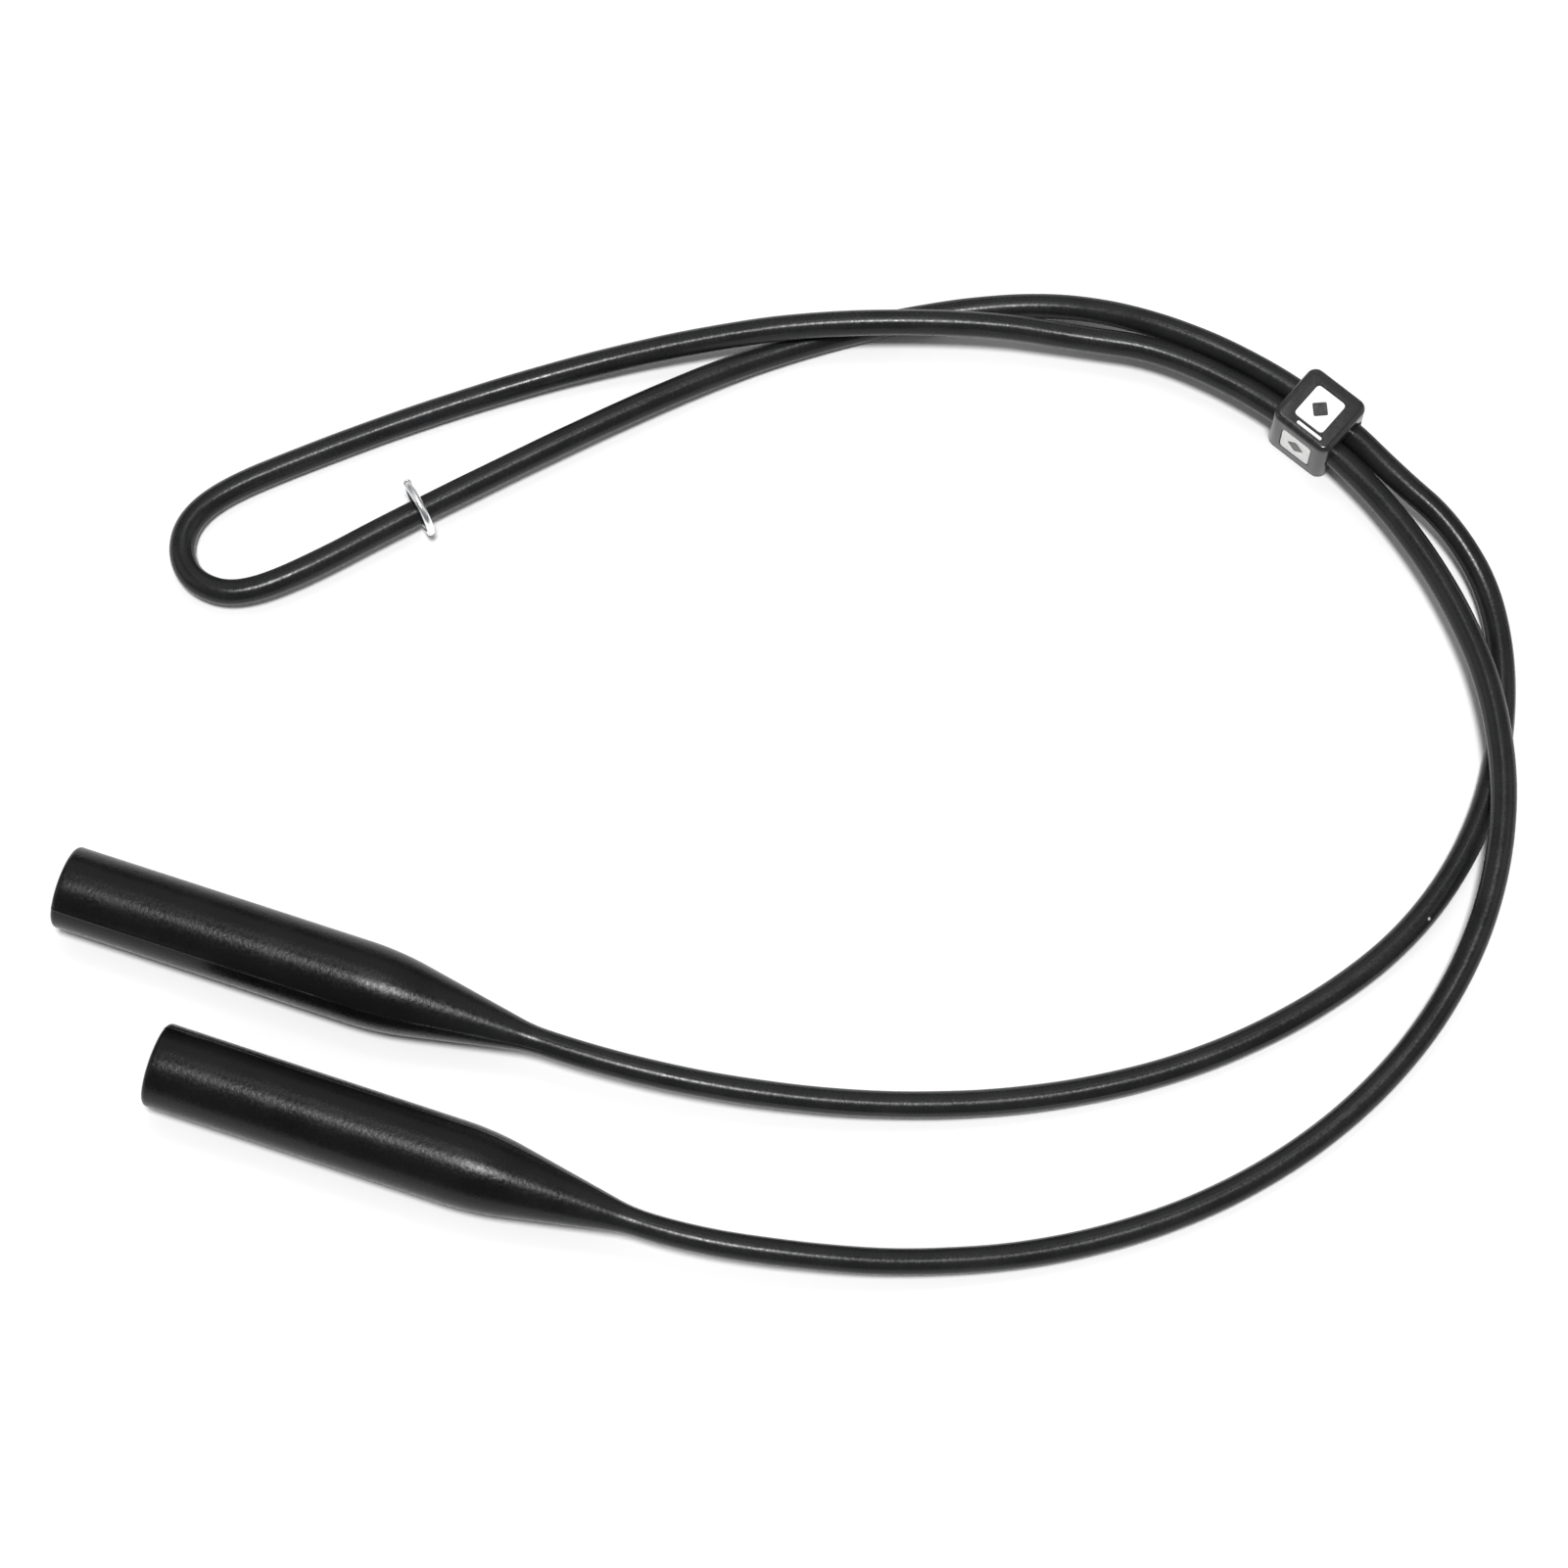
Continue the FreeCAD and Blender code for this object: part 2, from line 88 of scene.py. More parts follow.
UPPER_MOUTH = sleeve_mouth("upper")
LOWER_MOUTH = sleeve_mouth("lower")
UPPER_NECK = UPPER_MOUTH + SLEEVE_AXIS * SLEEVE_LENGTH
LOWER_NECK = LOWER_MOUTH + SLEEVE_AXIS * SLEEVE_LENGTH

# where the mould's parting line lies round each sleeve, from straight up towards the near side
UPPER_PARTING = math.radians(52.0)
LOWER_PARTING = math.radians(-49.0)


# ---------------------------------------------------------------- camera
def make_camera():
    """Looks down at the strap from the near side, as it is usually laid out and shown."""
    target = Vector((0.0057, 0.0022, 0.0))
    elevation = math.radians(71.5)
    distance = 0.43196
    camera = bpy.data.objects.new("camera", bpy.data.cameras.new("camera"))
    camera.data.angle = math.radians(17.2)
    camera.data.clip_start = 0.01
    back = Vector((0, -math.cos(elevation), math.sin(elevation)))
    camera.location = target + back * distance
    camera.rotation_mode = "QUATERNION"
    camera.rotation_quaternion = (-back).to_track_quat("-Z", "Y")
    SCENE.collection.objects.link(camera)
    SCENE.camera = camera


make_camera()


# ---------------------------------------------------------------- the cord's route
ROUTE = [
    # out of the upper sleeve and down to the surface
    (-8.3, -23.0, 3.5),
    (2.0, -25.1, 2.9),
    (14.0, -26.1, 1.9),
    (26.5, -25.4, 1.2),
    # the big bend, outer strand, under the first crossing
    (38.4, -22.7, 1.1),
    (48.9, -17.8, 1.1),
    (57.6, -11.1, 1.1),
    (63.5, -2.1, 1.1),
    (66.0, 8.0, 1.1),
    (65.5, 17.8, 1.3),
    # lifted by the bead, at one radius about the slide's centre
    (62.0, 24.3, 2.5),
    (57.21, 28.69, 2.975),
    (53.17, 33.14, 2.975),
    (46.75, 38.24, 2.975),
    (38.45, 42.38, 2.975),
    # along the top, under the second crossing
    (29.4, 45.0, 1.8),
    (18.6, 44.4, 1.1),
    (5.6, 41.1, 1.1),
    # the straight stretch that the ring slides on
    (-6.9, 35.5, 1.85),
    (-25.9, 25.5, 1.85),
    # the end loop
    (-35.1, 20.2, 1.85),
    (-40.4, 18.3, 1.6),
    (-43.9, 19.5, 1.4),
    (-45.3, 22.3, 1.2),
    (-44.6, 25.4, 1.1),
    (-41.6, 28.0, 1.1),
    (-35.4, 30.8, 1.1),
    (-25.8, 34.7, 1.1),
    # up and over the first strand
    (-13.9, 38.6, 1.4),
    (-2.4, 41.1, 2.6),
    (8.6, 42.4, 3.7),
    (22.5, 42.4, 3.7),
    (31.2, 41.2, 2.9),
    # the bead's inner half
    (37.64, 40.22, 2.975),
    (45.51, 36.29, 2.975),
    (52.39, 30.82, 2.975),
    (58.0, 24.0, 2.975),
    # over the first strand again, then down to the surface
    (62.0, 16.8, 3.2),
    (64.7, 8.8, 3.7),
    (65.4, -1.2, 3.7),
    (63.1, -11.4, 2.7),
    (57.6, -20.8, 1.5),
    (49.3, -28.8, 1.1),
    (38.8, -34.8, 1.1),
    # back along the bottom and up into the lower sleeve
    (27.1, -38.2, 1.3),
    (15.6, -39.2, 2.1),
    (6.6, -38.7, 3.0),
    (-1.9, -37.5, 3.5),
]
POINTS_PER_RUN = 26
CLOSEST_POINTS = 0.02


def centreline():
    """The points of the cord's own spline, in millimetres, from neck to neck."""
    control = [UPPER_NECK] + [Vector(point) for point in ROUTE] + [LOWER_NECK]
    curve = bpy.data.curves.new("cord_route", "CURVE")
    curve.dimensions = "3D"
    curve.resolution_u = POINTS_PER_RUN
    spline = curve.splines.new("NURBS")
    spline.points.add(len(control) - 1)
    for point, place in zip(spline.points, control):
        point.co = (*(place * MM), 1.0)
    spline.order_u = 3
    spline.use_endpoint_u = True
    holder = bpy.data.objects.new("cord_route", curve)
    SCENE.collection.objects.link(holder)
    bpy.context.view_layer.update()
    line = bpy.data.meshes.new_from_object(holder)
    points = [vertex.co / MM for vertex in line.vertices]
    bpy.data.objects.remove(holder)
    bpy.data.curves.remove(curve)
    bpy.data.meshes.remove(line)
    apart = [points[0]]
    for point in points[1:]:
        if (point - apart[-1]).length > CLOSEST_POINTS:
            apart.append(point)
    return apart


# ---------------------------------------------------------------- mesh helpers
# faces that meet at more than this stay crisp, such as a cut end and the round side
END_ANGLE = math.radians(62)
# the same for the bead and its marks, whose own corners are rounded in small steps
CORNER_ANGLE = math.radians(38)
# half the width of the mould's flash, and how far from a parting line the points are close
FLASH_WIDTH = 0.055
CLOSE_POINTS = (0.0, 0.035, 0.07, 0.12, 0.2)


def parting_angles(radius, count):
    """Angles round a moulding, evenly spaced, with close ones across both parting lines."""
    fine = {side * offset / radius for offset in CLOSE_POINTS for side in (1, -1)}
    clear = 1.6 * max(CLOSE_POINTS) / radius
    angles = set()
    for line in (0.0, math.pi):
        angles |= {line + offset for offset in fine}
    for step in range(count):
        angle = 2 * math.pi * step / count
        if min(abs(angle), abs(angle - math.pi), abs(angle - 2 * math.pi)) > clear:
            angles.add(angle)
    return sorted(angle % (2 * math.pi) for angle in angles)


def flash(angle, along, radius, height):
    """Height of the thin flash that the mould leaves along its two parting lines."""
    ridge = 0.0
    for line, phase in ((0.0, 0.3), (math.pi, 2.1)):
        away = (angle - line + math.pi) % (2 * math.pi) - math.pi
        width = FLASH_WIDTH * (1 + 0.25 * math.sin(along * 0.53 + phase))
        slow = 0.2 * math.sin(along * 0.31 + phase)
        quick = 0.16 * math.sin(along * 1.37 + 2 * phase)
        ridge += height * (0.72 + slow + quick) * math.exp(-((away * radius / width) ** 2))
    return ridge


def mesh_object(name, vertices, faces, material, sweep=None):
    """A mesh piece, its points in millimetres, with smooth faces.

    sweep gives each point's place in the straightened moulding, for grain that runs along it.
    """
    mesh = bpy.data.meshes.new(name)
    mesh.from_pydata([tuple(Vector(vertex) * MM) for vertex in vertices], [], faces)
    if sweep is not None:
        attribute = mesh.attributes.new("sweep", "FLOAT_VECTOR", "POINT")
        attribute.data.foreach_set("vector", np.array(sweep, np.float32).ravel())
    mesh.shade_smooth()
    mesh.set_sharp_from_angle(angle=END_ANGLE)
    mesh.materials.append(material)
    piece = bpy.data.objects.new(name, mesh)
    SCENE.collection.objects.link(piece)
    return piece


def ring_faces(rings, around):
    """Quads between neighbouring rings of points."""
    faces = []
    for ring in range(rings - 1):
        for step in range(around):
            following = (step + 1) % around
            here = ring * around
            above = here + around
            faces.append((here + step, here + following, above + following, above + step))
    return faces


# ---------------------------------------------------------------- node materials
# the cord and sleeves are one silicone; the cord's lighter tone and the sleeves' darker one are
# painted light and shade
CORD_TONE = 0.0115
SLEEVE_TONE = 0.004
# the silicone is all sleeve from this distance off the moulding's axis
THICK_RADIUS = 3.0


def new_material(name):
    material = bpy.data.materials.new(name)
    material.use_nodes = True
    tree = material.node_tree
    return material, tree, tree.nodes["Principled BSDF"]


def add_node(tree, kind, inputs=None, **settings):
    node = tree.nodes.new(kind)
    for name, value in settings.items():
        setattr(node, name, value)
    for name, value in (inputs or {}).items():
        if isinstance(value, bpy.types.NodeSocket):
            tree.links.new(value, node.inputs[name])
        else:
            node.inputs[name].default_value = value
    return node


def noise(tree, place, scale, detail=3.0, roughness=0.55):
    """A noise texture's value, centred on a half."""
    inputs = {"Vector": place, "Scale": scale, "Detail": detail, "Roughness": roughness}
    return add_node(tree, "ShaderNodeTexNoise", inputs).outputs["Fac"]


def spread(tree, value, low, high, to_low, to_high):
    """Maps a value's range onto another, clamped."""
    inputs = {
        "Value": value,
        "From Min": low,
        "From Max": high,
        "To Min": to_low,
        "To Max": to_high,
    }
    return add_node(tree, "ShaderNodeMapRange", inputs).outputs["Result"]


def combine(tree, operation, first, second):
    """Two values added or multiplied."""
    node = add_node(tree, "ShaderNodeMath", operation=operation)
    tree.links.new(first, node.inputs[0])
    tree.links.new(second, node.inputs[1])
    return node.outputs["Value"]


def raised_edges(tree, low, high, most):
    """How far the surface stands out as an edge, from 0 to most."""
    pointiness = add_node(tree, "ShaderNodeNewGeometry").outputs["Pointiness"]
    return spread(tree, pointiness, low, high, 0.0, most)


def bump(tree, height, strength, distance):
    """A small relief; distance in metres."""
    inputs = {"Height": height, "Strength": strength, "Distance": distance}
    return add_node(tree, "ShaderNodeBump", inputs)


def blend_colours(tree, factor, first, second):
    node = add_node(tree, "ShaderNodeMix", data_type="RGBA")
    tree.links.new(factor, node.inputs["Factor"])
    for socket, value in ((node.inputs[6], first), (node.inputs[7], second)):
        if isinstance(value, bpy.types.NodeSocket):
            tree.links.new(value, socket)
        else:
            socket.default_value = (*value, 1.0)
    return node.outputs[2]


def dust_mask(tree, place, cell, size, share):
    """Sparse specks: the middles of a few random cells, 1 on a speck and 0 elsewhere."""
    cells = add_node(tree, "ShaderNodeTexVoronoi", {"Vector": place, "Scale": 1 / cell})
    near = spread(tree, cells.outputs["Distance"], size, size * 1.6, 1.0, 0.0)
    pick = add_node(tree, "ShaderNodeSeparateColor", {"Color": cells.outputs["Color"]})
    chosen = spread(tree, pick.outputs["Red"], 1 - share, 1 - share + 0.001, 0.0, 1.0)
    return combine(tree, "MULTIPLY", near, chosen)


def silicone(name):
    """Black moulded silicone: grain that fades towards the cord, drawn streaks, some dust; painted
    highlight on raised edges and painted shade darkening the sleeves.
    """
    material, tree, shader = new_material(name)
    place = add_node(tree, "ShaderNodeTexCoord").outputs["Object"]
    straight = add_node(tree, "ShaderNodeAttribute", attribute_name="sweep").outputs["Vector"]
    stretch = add_node(tree, "ShaderNodeMapping", {"Vector": straight, "Scale": (1.0, 1.0, 0.06)})
    clouds = noise(tree, place, 260.0, 4.0)
    fine = noise(tree, place, 3300.0, 4.0, 0.6)
    streaks = noise(tree, stretch.outputs["Vector"], 2.6, 3.0)
    dust = dust_mask(tree, place, 0.0031, 0.045, 0.035)

    # distance from the moulding's axis, which tells the thick sleeve from the thin cord
    section = add_node(tree, "ShaderNodeVectorMath", {"Vector": straight}, operation="MULTIPLY")
    section.inputs[1].default_value = (1.0, 1.0, 0.0)
    distance = add_node(tree, "ShaderNodeVectorMath", operation="LENGTH")
    tree.links.new(section.outputs["Vector"], distance.inputs[0])
    thick = spread(tree, distance.outputs["Value"], CORD_RADIUS, THICK_RADIUS, 0.0, 1.0)

    cloud_share = spread(tree, clouds, 0.3, 0.7, 0.0, 1.0)
    # lighter tone on the cord, darker on the sleeves, blended by thickness: painted light and shade
    shades = []
    for tone in (CORD_TONE, SLEEVE_TONE):
        dark = tuple(tone * share for share in (0.92, 0.94, 1.0))
        light = tuple(tone * share for share in (1.5, 1.52, 1.6))
        shades.append(blend_colours(tree, cloud_share, dark, light))
    body = blend_colours(tree, thick, shades[0], shades[1])
    # lighter colour on the sleeves' raised edges and flash ridges, as a painted highlight
    edge_highlight = combine(tree, "MULTIPLY", raised_edges(tree, 0.51, 0.56, 0.5), thick)
    edge_lit = blend_colours(tree, edge_highlight, body, (0.03, 0.03, 0.032))
    dusty = blend_colours(tree, dust, edge_lit, (0.55, 0.55, 0.53))
    tree.links.new(dusty, shader.inputs["Base Color"])

    gloss = spread(tree, thick, 0.0, 1.0, 0.245, 0.26)
    cloudy = spread(tree, clouds, 0.3, 0.7, -0.03, 0.04)
    grainy = spread(tree, fine, 0.35, 0.65, -0.05, 0.07)
    uneven = combine(tree, "ADD", cloudy, grainy)
    tree.links.new(combine(tree, "ADD", gloss, uneven), shader.inputs["Roughness"])

    drawn = bump(tree, streaks, 0.35, 12e-6)
    depth = spread(tree, thick, 0.0, 1.0, 0.6, 1.0)
    grained = bump(tree, fine, depth, 20e-6)
    tree.links.new(drawn.outputs["Normal"], grained.inputs["Normal"])
    tree.links.new(grained.outputs["Normal"], shader.inputs["Normal"])
    shader.inputs["IOR"].default_value = 1.42
    shader.inputs["Specular IOR Level"].default_value = 0.32
    return material


def moulded_plastic():
    """Satin black plastic of the bead: fine eroded texture, and a painted highlight along its
    edges.
    """
    material, tree, shader = new_material("bead_plastic")
    place = add_node(tree, "ShaderNodeTexCoord").outputs["Object"]
    clouds = noise(tree, place, 700.0, 4.0)
    fine = noise(tree, place, 7500.0, 3.0)
    scuffs = noise(tree, place, 2600.0, 6.0, 0.7)
    # lighter colour along the bead's rounded edges, broken up by noise, as a painted highlight
    edges = raised_edges(tree, 0.505, 0.55, 1.0)
    edge_highlight = combine(tree, "MULTIPLY", edges, spread(tree, scuffs, 0.35, 0.6, 0.25, 0.9))
    body = blend_colours(tree, clouds, (0.006, 0.006, 0.0064), (0.014, 0.014, 0.0147))
    edge_lit = blend_colours(tree, edge_highlight, body, (0.07, 0.07, 0.072))
    tree.links.new(edge_lit, shader.inputs["Base Color"])
    tree.links.new(spread(tree, scuffs, 0.3, 0.7, 0.14, 0.24), shader.inputs["Roughness"])
    relief = bump(tree, fine, 0.25, 6e-6)
    tree.links.new(relief.outputs["Normal"], shader.inputs["Normal"])
    shader.inputs["IOR"].default_value = 1.5
    return material


def white_filling():
    """White paint run into the recesses: slightly uneven, a little greyed where it is thin."""
    material, tree, shader = new_material("white_inlay")
    place = add_node(tree, "ShaderNodeTexCoord").outputs["Object"]
    patches = noise(tree, place, 1500.0, 5.0, 0.65)
    fine = noise(tree, place, 9000.0, 2.0)
    thin = spread(tree, patches, 0.3, 0.6, 0.0, 1.0)
    colour = blend_colours(tree, thin, (0.83, 0.83, 0.82), (0.93, 0.93, 0.92))
    tree.links.new(colour, shader.inputs["Base Color"])
    tree.links.new(spread(tree, patches, 0.3, 0.7, 0.5, 0.34), shader.inputs["Roughness"])
    relief = bump(tree, fine, 0.2, 8e-6)
    tree.links.new(relief.outputs["Normal"], shader.inputs["Normal"])
    return material


def plated_wire():
    """Bright plated wire with drawing marks and slightly dulled patches."""
    material, tree, shader = new_material("ring_metal")
    place = add_node(tree, "ShaderNodeTexCoord").outputs["Object"]
    straight = add_node(tree, "ShaderNodeAttribute", attribute_name="sweep").outputs["Vector"]
    stretch = add_node(tree, "ShaderNodeMapping", {"Vector": straight, "Scale": (1.0, 1.0, 0.08)})
    drawn = noise(tree, stretch.outputs["Vector"], 14.0, 3.0)
    patches = noise(tree, place, 1100.0, 4.0)
    dulled = spread(tree, patches, 0.35, 0.65, 0.0, 1.0)
    colour = blend_colours(tree, dulled, (0.84, 0.85, 0.86), (0.96, 0.96, 0.97))
    tree.links.new(colour, shader.inputs["Base Color"])
    tree.links.new(spread(tree, patches, 0.3, 0.7, 0.34, 0.22), shader.inputs["Roughness"])
    relief = bump(tree, drawn, 0.25, 6e-6)
    tree.links.new(relief.outputs["Normal"], shader.inputs["Normal"])
    shader.inputs["Metallic"].default_value = 1.0
    return material


CORD_SILICONE = silicone("cord_silicone")
SLEEVE_SILICONE = silicone("sleeve_silicone")
BEAD_PLASTIC = moulded_plastic()
WHITE_FILLING = white_filling()
PLATED_WIRE = plated_wire()


# ---------------------------------------------------------------- cord
CORD_FLASH = 0.03
CORD_POINTS_ROUND = 44
# the cord's thickness is exact at its necks and wanders freely from this far along
STEADY_LENGTH = 5


def parting_direction(angle):
    """Points from a sleeve's axis at its parting line; the angle is from up to the near side."""
    near_side = SLEEVE_AXIS.cross(Vector((0, 0, 1)))
    return Vector((0, 0, 1)) * math.cos(angle) + near_side * math.sin(angle)


def make_cord():
    points = centreline()
    count = len(points)
    tangents = []
    for index in range(count):
        before = points[max(index - 1, 0)]
        after = points[min(index + 1, count - 1)]
        tangents.append((after - before).normalized())
    lengths = [0.0]
    for before, after in zip(points, points[1:]):
        lengths.append(lengths[-1] + (after - before).length)

    # a frame carried along without twist, then eased round to meet the lower sleeve's line
    carried = [parting_direction(UPPER_PARTING)]
    for before, after in zip(tangents, tangents[1:]):
        carried.append(before.rotation_difference(after) @ carried[-1])
    # the strap leaves one neck and enters the other, so the last tangent points into the sleeve
    target = parting_direction(LOWER_PARTING)
    last = carried[-1]
    twist = math.atan2(last.cross(target).dot(tangents[-1]), last.dot(target))

    angles = parting_angles(CORD_RADIUS, CORD_POINTS_ROUND)
    vertices = []
    sweep = []
    for point, tangent, up, along in zip(points, tangents, carried, lengths):
        up = Matrix.Rotation(twist * along / lengths[-1], 3, tangent) @ up
        up = (up - tangent * up.dot(tangent)).normalized()
        side = tangent.cross(up)
        # the thickness of a moulded cord wanders a little
        radius = CORD_RADIUS * (1 + 0.006 * math.sin(along * 0.21) + 0.004 * math.sin(along * 0.83))
        ends = min(along, lengths[-1] - along)
        radius = CORD_RADIUS + (radius - CORD_RADIUS) * min(ends / STEADY_LENGTH, 1)
        for angle in angles:
            reach = radius + flash(angle, along, CORD_RADIUS, CORD_FLASH)
            out = up * math.cos(angle) + side * math.sin(angle)
            vertices.append(point + out * reach)
            sweep.append((math.cos(angle) * reach, math.sin(angle) * reach, along))
    around = len(angles)
    faces = ring_faces(count, around)
    faces.append(tuple(reversed(range(around))))
    faces.append(tuple(range((count - 1) * around, count * around)))
    cord = mesh_object("silicone_cord", vertices, faces, CORD_SILICONE, sweep)
    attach(cord, "strap")
    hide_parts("cord")


make_cord()


# ---------------------------------------------------------------- sleeves
SLEEVE_FLASH = 0.06
SLEEVE_POINTS_ROUND = 96
NECK_FLASH_START = 34.0
RIM_ROUND = 0.45
LEAD_IN = 0.3
NECK_CORNER = 1.25
NECK_EASE = 1.3
SHOULDER_EASE = 2.6
OUTSIDE_STEP = 0.7
INSIDE_STEP = 1.4
# a soft moulding is never quite round: the barrel sags a little, most at its mouth
MOUTH_SAG = 0.03
SAG_LENGTH = 14.0


def corner_arc(centre, radius, start, end, count):
    """Points of an arc in the half section, from one angle to another, in degrees."""
    arc = []
    for step in range(count + 1):
        angle = math.radians(start + (end - start) * step / count)
        arc.append((centre[0] + radius * math.cos(angle), centre[1] + radius * math.sin(angle)))
    return arc


def soft_corner(before, corner, after, reach, count=12):
    """A corner of the half section eased by a parabola that starts and ends at reach from it."""
    start = corner + (before - corner).normalized() * reach
    end = corner + (after - corner).normalized() * reach
    eased = []
    for step in range(count + 1):
        share = step / count
        rest = 1 - share
        eased.append(start * rest ** 2 + corner * (2 * share * rest) + end * share ** 2)
    return [tuple(point) for point in eased]


def filled(points, step):
    """The same outline with points no further apart than step."""
    dense = [points[0]]
    for start, end in zip(points, points[1:]):
        length = math.dist(start, end)
        parts = max(1, math.ceil(length / step))
        for part in range(1, parts + 1):
            share = part / parts
            dense.append(tuple(a + (b - a) * share for a, b in zip(start, end)))
    return dense


def sleeve_outline():
    """Half section from the neck's middle, over the outside, round the mouth and into the bore."""
    neck = Vector((SLEEVE_LENGTH, CORD_RADIUS))
    blend = Vector((BLEND_START, BLEND_RADIUS))
    shoulder = Vector((SHOULDER, BARREL_RADIUS))
    mouth = Vector((0.0, BARREL_RADIUS))
    hollow = Vector((BLEND_START + NECK_CORNER, CORD_RADIUS))
    outside = [tuple(neck)]
    outside += soft_corner(neck, hollow, blend, NECK_EASE)
    outside += soft_corner(blend, shoulder, mouth, SHOULDER_EASE)
    outside += corner_arc((RIM_ROUND, BARREL_RADIUS - RIM_ROUND), RIM_ROUND, 90, 180, 9)
    outside += corner_arc((LEAD_IN, BORE_RADIUS + LEAD_IN), LEAD_IN, 180, 270, 7)
    inside = [
        (BORE_DEPTH, BORE_RADIUS),
        (BORE_DEPTH + 0.6, BORE_RADIUS - 0.25),
        (BORE_TIP - 0.4, 0.22),
    ]
    return filled(outside, OUTSIDE_STEP), filled([outside[-1]] + inside, INSIDE_STEP)[1:]


def make_sleeve(side, mouth, parting):
    outside, inside = sleeve_outline()
    outline = outside + inside
    angles = parting_angles(BARREL_RADIUS, SLEEVE_POINTS_ROUND)
    around = len(angles)
    up = parting_direction(parting)
    across = SLEEVE_AXIS.cross(up)
    vertices = []
    sweep = []
    for index, (along, radius) in enumerate(outline):
        # the flash fades from the barrel's height to the cord's along the cone, and round the rim
        neckward = min(max((along - NECK_FLASH_START) / (SLEEVE_LENGTH - NECK_FLASH_START), 0), 1)
        height = SLEEVE_FLASH + (CORD_FLASH - SLEEVE_FLASH) * neckward
        past_rim = radius > BARREL_RADIUS - 0.6 or along > SHOULDER
        outer = index < len(outside) and past_rim
        sag = MOUTH_SAG * math.exp(-along / SAG_LENGTH) * min(radius / BARREL_RADIUS, 1)
        for angle in angles:
            reach = radius
            if outer:
                reach += flash(angle, SLEEVE_LENGTH - along, max(radius, CORD_RADIUS), height)
            reach += sag * math.cos(2 * angle + 0.8)
            out = up * math.cos(angle) + across * math.sin(angle)
            vertices.append(mouth + SLEEVE_AXIS * along + out * reach)
            sweep.append((math.cos(angle) * reach, math.sin(angle) * reach, along))
    faces = ring_faces(len(outline), around)
    faces = [tuple(reversed(face)) for face in faces]
    faces.append(tuple(range(around)))
    last = range((len(outline) - 1) * around, len(outline) * around)
    faces.append(tuple(reversed(last)))
    sleeve = mesh_object(f"sleeve_{side}", vertices, faces, SLEEVE_SILICONE, sweep)
    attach(sleeve, "strap")
    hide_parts(f"temple_sleeve_{side}")


make_sleeve("upper", UPPER_MOUTH, UPPER_PARTING)
make_sleeve("lower", LOWER_MOUTH, LOWER_PARTING)


# ---------------------------------------------------------------- slider bead
BEAD_CORNER_ROUND = 0.9
BEAD_EDGE_ROUND = 0.5
ROUND_STEPS = 9
SLOT_WIDTH = 4.8
SLOT_HEIGHT = 2.5
SLOT_INSET = 0.04
SLOT_LIP = 0.18
SLOT_LIP_STEPS = 6
MARK_DEPTH = 0.2
MARK_GAP = 0.07
MARK_BELOW = 0.01
MARK_BEVEL = 0.05
CUT_ABOVE = 0.5
TILE_WIDTH = 3.0
TILE_HEIGHT = 3.4
TILE_ROUND = 0.4
TILE_HOLE = 0.85
HOLE_ROUND = 0.14
LINE_LENGTH = 2.6
LINE_WIDTH = 0.3
LINE_OFFSET = 2.1
LINE_SHIFT = 0.5


def bead_matrix():
    """Bead frame: X along the strands, Y outwards from the bend, Z up, origin at its middle."""
    low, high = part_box("slider_bead")
    centre = (low + high) / 2 / MM
    out = centre - Vector(BEAD_SLIDE["pos_m"]) / MM
    turn = math.atan2(out.y, out.x) - math.pi / 2
    return Matrix.Translation(centre) @ Matrix.Rotation(turn, 4, "Z")


# turns a face's own plane (drawn in X and Y, facing Z) onto that side of the bead
FACES = {
    "top": Matrix.Identity(4),
    "front": Matrix.Rotation(math.pi / 2, 4, "X"),
    "back": Matrix.Rotation(-math.pi / 2, 4, "X") @ Matrix.Rotation(math.pi, 4, "Z"),
    "bottom": Matrix.Rotation(math.pi, 4, "X"),
}


def rounded_polygon(corners, radius, count=5):
    """A convex outline whose corners are eased by small arcs."""
    outline = []
    total = len(corners)
    for index, corner in enumerate(corners):
        before = (corners[index - 1] - corner).normalized()
        after = (corners[(index + 1) % total] - corner).normalized()
        eased = soft_corner(corner + before, corner, corner + after, radius, count)
        outline += [Vector(point) for point in eased]
    return outline


def rectangle(width, height, along, up):
    """Corners of a rectangle about a middle point, anticlockwise."""
    right = width / 2
    high = height / 2
    signs = ((-1, -1), (1, -1), (1, 1), (-1, 1))
    return [Vector((along + x * right, up + y * high)) for x, y in signs]


def tile(grow):
    """Outlines of a soft-cornered tile and of the diamond left open in its middle."""
    half = TILE_HOLE - grow
    corners = rectangle(TILE_WIDTH + 2 * grow, TILE_HEIGHT + 2 * grow, 0, 0)
    hole = [Vector((half, 0)), Vector((0, half)), Vector((-half, 0)), Vector((0, -half))]
    return [rounded_polygon(corners, TILE_ROUND + grow), rounded_polygon(hole, HOLE_ROUND)]


def line_bar(grow):
    """Outline of a thin bar with round ends near the face's edge."""
    width = LINE_WIDTH + 2 * grow
    corners = rectangle(LINE_LENGTH + 2 * grow, width, LINE_SHIFT, -LINE_OFFSET)
    return [rounded_polygon(corners, 0.45 * width)]


